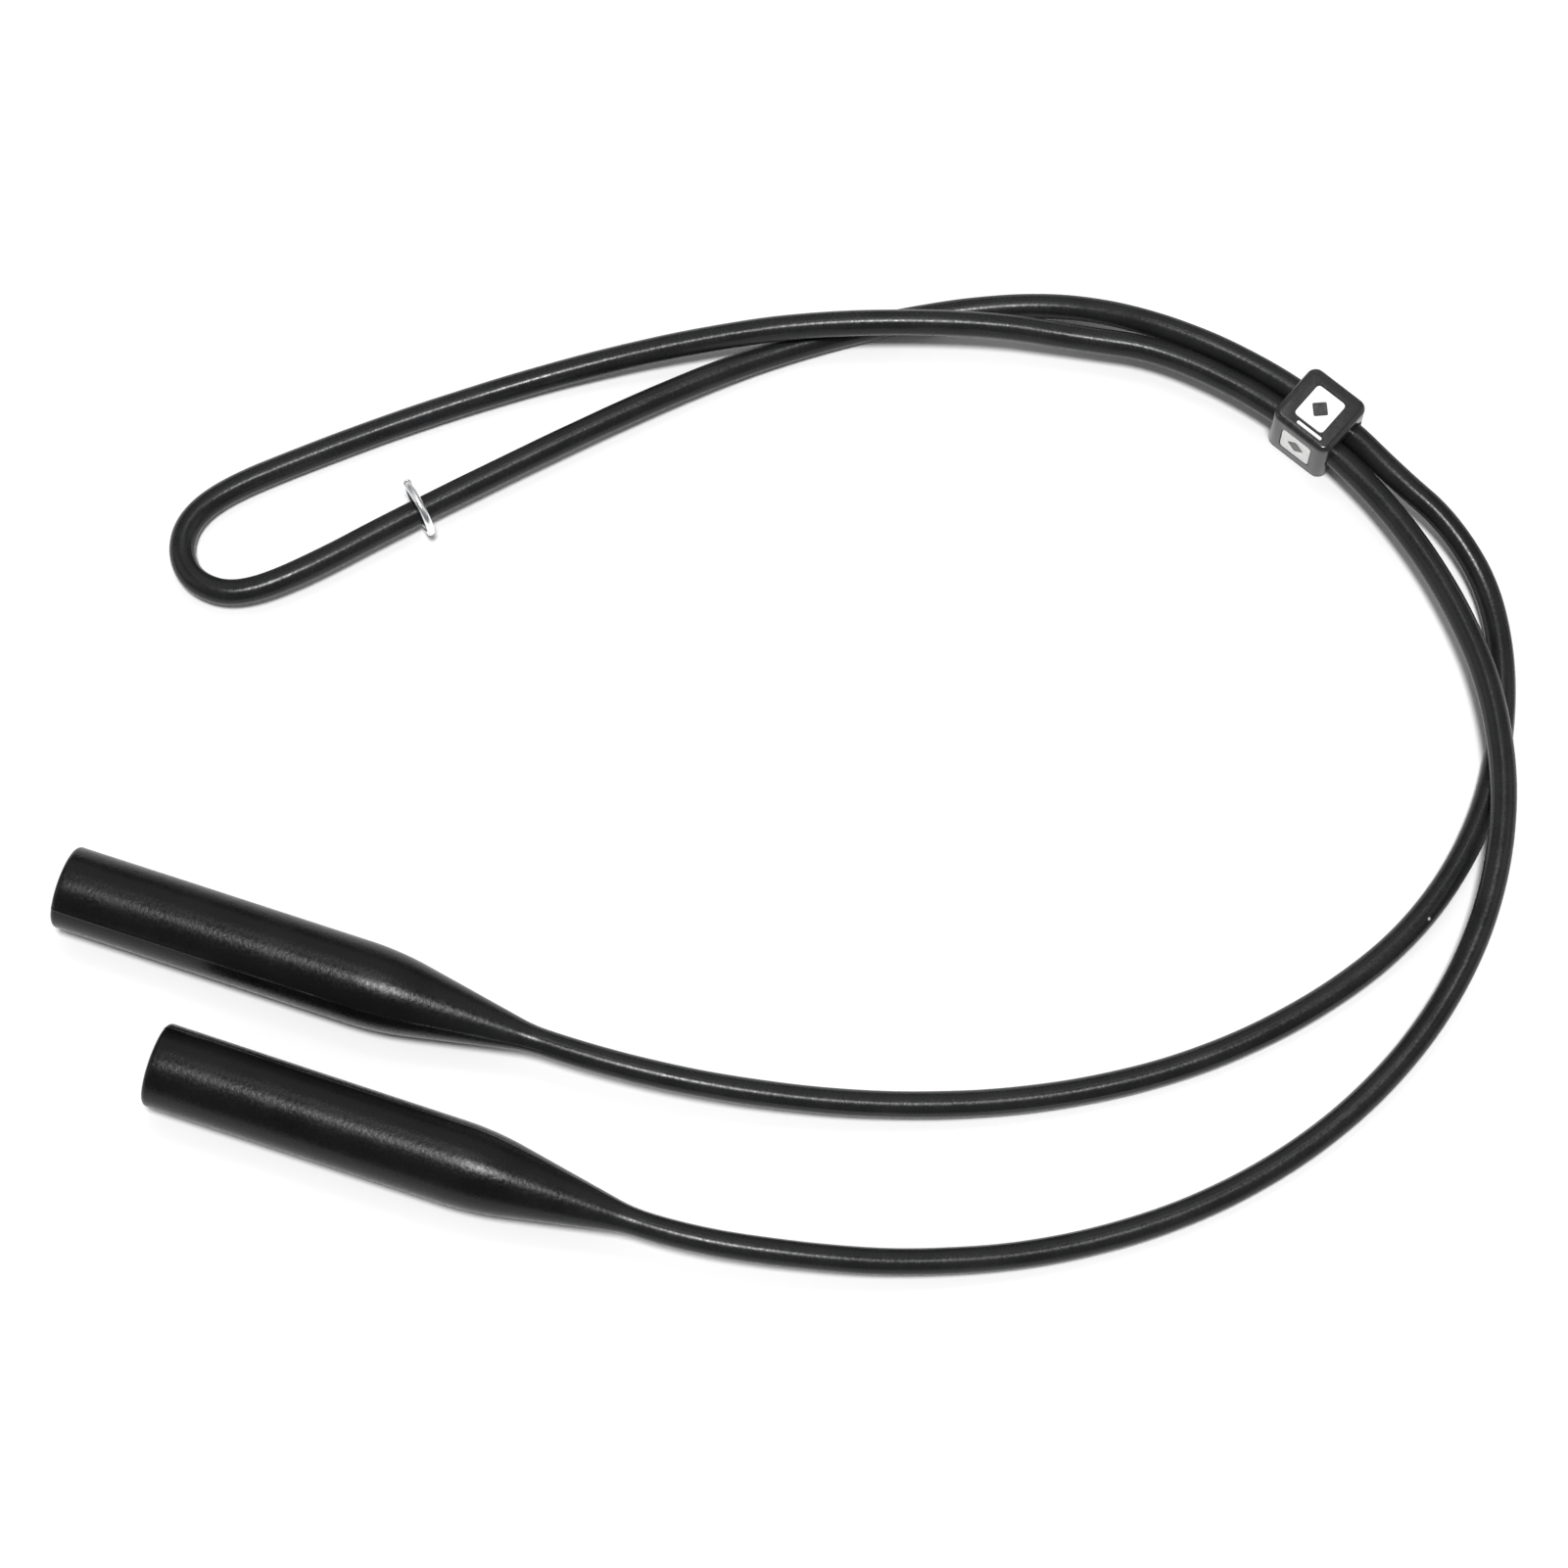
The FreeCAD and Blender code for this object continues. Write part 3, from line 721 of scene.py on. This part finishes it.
def prism(name, outlines, low, high, turn, bevel=0.0):
    """A solid between two heights, from an outline and, if there is a second one, its hole."""
    build = bmesh.new()
    edges = []
    for outline in outlines:
        ring = [build.verts.new((point.x, point.y, low)) for point in outline]
        edges += [build.edges.new((a, b)) for a, b in zip(ring, ring[1:] + ring[:1])]
    bmesh.ops.triangle_fill(build, use_beauty=True, use_dissolve=True, edges=edges)
    everything = build.faces[:] + build.edges[:] + build.verts[:]
    rise = bmesh.ops.extrude_face_region(build, geom=everything)
    lifted = [item for item in rise["geom"] if isinstance(item, bmesh.types.BMVert)]
    bmesh.ops.translate(build, verts=lifted, vec=(0, 0, high - low))
    bmesh.ops.recalc_face_normals(build, faces=build.faces)
    if bevel:
        rim = []
        for edge in build.edges:
            on_top = all(vert.co.z > high - 1e-6 for vert in edge.verts)
            turns = len({round(face.normal.z, 3) for face in edge.link_faces}) > 1
            if on_top and turns:
                rim.append(edge)
        bmesh.ops.bevel(build, geom=rim, offset=bevel, segments=3, profile=0.5, affect="EDGES")
    bmesh.ops.transform(build, matrix=Matrix.Scale(MM, 4) @ bead_matrix() @ turn, verts=build.verts)
    mesh = bpy.data.meshes.new(name)
    build.to_mesh(mesh)
    build.free()
    piece = bpy.data.objects.new(name, mesh)
    SCENE.collection.objects.link(piece)
    return piece


def slot_ring(width, height, across, count=14):
    """Points of the slot's oblong outline at one place along the strands."""
    end = height / 2
    half = width / 2 - end
    points = []
    for middle, start in ((half, -90), (-half, 90)):
        for step in range(count + 1):
            angle = math.radians(start + 180 * step / count)
            outwards = -SLOT_INSET + middle + end * math.cos(angle)
            points.append(Vector((across, outwards, end * math.sin(angle))))
    return points


def slot_cutter():
    """The strands' oblong way through the bead, flared a little where it comes out."""
    half = BEAD_SIDE / 2
    stations = [(-half - 0.6, 1.2), (-half - 0.02, SLOT_LIP)]
    for step in range(1, SLOT_LIP_STEPS + 1):
        angle = math.pi / 2 * step / SLOT_LIP_STEPS
        grow = SLOT_LIP * (1 - math.sin(angle)) * math.cos(angle)
        stations.append((-half + SLOT_LIP * math.sin(angle), grow))
    stations += [(-across, grow) for across, grow in reversed(stations)]
    rings = []
    for across, grow in stations:
        rings.append(slot_ring(SLOT_WIDTH + 2 * grow, SLOT_HEIGHT + 2 * grow, across))
    around = len(rings[0])
    build = bmesh.new()
    points = [build.verts.new(point) for ring in rings for point in ring]
    for face in ring_faces(len(rings), around):
        build.faces.new([points[index] for index in face])
    build.faces.new([points[index] for index in reversed(range(around))])
    build.faces.new([points[index] for index in range(len(points) - around, len(points))])
    bmesh.ops.recalc_face_normals(build, faces=build.faces)
    bmesh.ops.transform(build, matrix=Matrix.Scale(MM, 4) @ bead_matrix(), verts=build.verts)
    mesh = bpy.data.meshes.new("slot_cutter")
    build.to_mesh(mesh)
    build.free()
    cutter = bpy.data.objects.new("slot_cutter", mesh)
    SCENE.collection.objects.link(cutter)
    return cutter


def bead_block():
    """The bead's cube: its upright edges well rounded, those round its top and bottom less so."""
    half = BEAD_SIDE / 2
    levels = []
    for step in range(ROUND_STEPS + 1):
        angle = math.pi / 2 * step / ROUND_STEPS
        drop = BEAD_EDGE_ROUND * (1 - math.sin(angle))
        levels.append((half - drop, BEAD_EDGE_ROUND * (1 - math.cos(angle))))
    # from the bottom face up one side and over onto the top face
    levels = [(-rise, inset) for rise, inset in reversed(levels)] + levels
    build = bmesh.new()
    rings = []
    for rise, inset in levels:
        ring = []
        corner = BEAD_CORNER_ROUND - inset
        middle = half - BEAD_CORNER_ROUND
        for quarter, (x, y) in enumerate(((1, 1), (-1, 1), (-1, -1), (1, -1))):
            for step in range(ROUND_STEPS + 1):
                angle = math.pi / 2 * (quarter + step / ROUND_STEPS)
                across = x * middle + corner * math.cos(angle)
                outwards = y * middle + corner * math.sin(angle)
                ring.append(build.verts.new((across, outwards, rise)))
        rings.append(ring)
    around = len(rings[0])
    points = [vertex for ring in rings for vertex in ring]
    for face in ring_faces(len(rings), around):
        build.faces.new([points[index] for index in face])
    build.faces.new(list(reversed(rings[0])))
    build.faces.new(rings[-1])
    bmesh.ops.recalc_face_normals(build, faces=build.faces)
    bmesh.ops.transform(build, matrix=Matrix.Scale(MM, 4) @ bead_matrix(), verts=build.verts)
    mesh = bpy.data.meshes.new("bead")
    build.to_mesh(mesh)
    build.free()
    mesh.materials.append(BEAD_PLASTIC)
    bead = bpy.data.objects.new("bead", mesh)
    SCENE.collection.objects.link(bead)
    return bead


def cut(piece, cutter):
    """Takes the cutter out of the piece's mesh for good."""
    modifier = piece.modifiers.new("cut", "BOOLEAN")
    modifier.operation = "DIFFERENCE"
    modifier.solver = "EXACT"
    modifier.object = cutter
    bpy.context.view_layer.update()
    evaluated = piece.evaluated_get(bpy.context.evaluated_depsgraph_get())
    mesh = bpy.data.meshes.new_from_object(evaluated)
    piece.modifiers.remove(modifier)
    before = piece.data
    piece.data = mesh
    bpy.data.meshes.remove(before)
    bpy.data.objects.remove(cutter)


def make_bead():
    bead = bead_block()
    cut(bead, slot_cutter())
    low = BEAD_SIDE / 2 - MARK_DEPTH
    high = BEAD_SIDE / 2 + CUT_ABOVE
    for name, turn in FACES.items():
        cut(bead, prism(f"recess_{name}", tile(MARK_GAP), low, high, turn))
    cut(bead, prism("recess_line", line_bar(MARK_GAP), low, high, FACES["top"]))
    bead.data.shade_smooth()
    bead.data.set_sharp_from_angle(angle=CORNER_ANGLE)
    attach(bead, "bead")
    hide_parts("slider_bead")


def make_mark(name, node, outlines, turn):
    """White filling in a recess, its edge rounded where the paint draws back from the wall."""
    half = BEAD_SIDE / 2
    mark = prism(name, outlines, half - MARK_DEPTH, half - MARK_BELOW, turn, bevel=MARK_BEVEL)
    mark.data.materials.append(WHITE_FILLING)
    mark.data.shade_smooth()
    mark.data.set_sharp_from_angle(angle=CORNER_ANGLE)
    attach(mark, "bead")
    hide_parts(node)


make_bead()
for face_name, face_turn in FACES.items():
    make_mark(f"mark_{face_name}", f"bead_mark_{face_name}", tile(0.0), face_turn)
make_mark("line_top", "bead_line_top", line_bar(0.0), FACES["top"])


# ---------------------------------------------------------------- metal ring
def make_ring():
    """A jump ring of round wire whose two cut ends stand a little out of line."""
    eye = MOUNTS["ring_eye"]
    turn = math.atan2(eye["axis"][1], eye["axis"][0])
    place = Matrix.Translation(Vector(eye["pos_m"]) / MM)
    place = place @ Matrix.Rotation(turn, 4, "Z") @ Matrix.Rotation(RING_ROLL, 4, "X")
    around = RING_POINTS_ROUND
    vertices = []
    sweep = []
    # stations along the wire, with close ones where the cut ends are rounded off
    along = [
        (0.0, RING_WIRE_RADIUS - RING_END_ROUND),
        (RING_END_ROUND * 0.3, RING_WIRE_RADIUS - RING_END_ROUND * 0.29),
        (RING_END_ROUND, RING_WIRE_RADIUS),
    ]
    full = (2 * math.pi - RING_CUT) * RING_RADIUS
    tail = [(full - distance, radius) for distance, radius in reversed(along)]
    for step in range(1, RING_STATIONS):
        along.append((full * step / RING_STATIONS, RING_WIRE_RADIUS))
    along += tail
    for distance, radius in along:
        angle = distance / RING_RADIUS
        share = distance / full - 0.5
        out = Vector((0, math.cos(angle), math.sin(angle)))
        middle = Vector((RING_END_OFFSET * share, 0, 0)) + out * RING_RADIUS
        for step in range(around):
            around_angle = 2 * math.pi * step / around
            outwards = math.cos(around_angle) * radius
            sideways = math.sin(around_angle) * radius
            vertices.append(place @ (middle + out * outwards + Vector((sideways, 0, 0))))
            sweep.append((outwards, sideways, distance))
    faces = ring_faces(len(along), around)
    faces.append(tuple(reversed(range(around))))
    faces.append(tuple(range((len(along) - 1) * around, len(along) * around)))
    ring = mesh_object("jump_ring", vertices, faces, PLATED_WIRE, sweep)
    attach(ring, "ring")
    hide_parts("stopper_ring")


make_ring()


# ---------------------------------------------------------------- floor and lights
FLOOR_HALF = 3.0


def make_floor():
    material, tree, shader = new_material("floor_white")
    shader.inputs["Base Color"].default_value = (0.95, 0.95, 0.95, 1)
    shader.inputs["Roughness"].default_value = 0.75
    shader.inputs["Specular IOR Level"].default_value = 0.2
    corners = [(x * FLOOR_HALF, y * FLOOR_HALF, 0) for x, y in ((-1, -1), (1, -1), (1, 1), (-1, 1))]
    mesh = bpy.data.meshes.new("floor")
    mesh.from_pydata(corners, [], [(0, 1, 2, 3)])
    mesh.materials.append(material)
    floor = bpy.data.objects.new("floor", mesh)
    SCENE.collection.objects.link(floor)


def add_softbox(name, azimuth, elevation, distance, size, power):
    """A square soft light aimed at the middle of the strap."""
    light = bpy.data.lights.new(name, "AREA")
    light.shape = "SQUARE"
    light.size = size
    light.energy = power
    turn, rise = math.radians(azimuth), math.radians(elevation)
    level = Vector((math.sin(turn), -math.cos(turn), 0)) * math.cos(rise)
    back = level + Vector((0, 0, math.sin(rise)))
    box = bpy.data.objects.new(name, light)
    box.location = back * distance
    box.rotation_mode = "QUATERNION"
    box.rotation_quaternion = (-back).to_track_quat("-Z", "Y")
    SCENE.collection.objects.link(box)


def make_light():
    world = bpy.data.worlds.new("studio")
    world.use_nodes = True
    background = world.node_tree.nodes["Background"]
    background.inputs["Color"].default_value = (1.0, 1.0, 1.0, 1.0)
    background.inputs["Strength"].default_value = 0.16
    SCENE.world = world
    key = bpy.data.lights.new("key", "SUN")
    key.energy = 2.6
    key.angle = math.radians(11.0)
    lamp = bpy.data.objects.new("key", key)
    lamp.rotation_euler = (math.radians(8.0), 0, 0)
    SCENE.collection.objects.link(lamp)
    add_softbox("top_fill", 180, 71.5, 0.9, 0.12, 0.35)
    add_softbox("back_fill", 178, 50, 1.2, 1.2, 2.4)
    add_softbox("left_fill", -92, 32, 1.2, 0.8, 1.6)
    add_softbox("right_fill", 92, 32, 1.2, 0.8, 1.6)
    SCENE.view_settings.view_transform = "Standard"
    SCENE.view_settings.look = "None"


make_floor()
make_light()
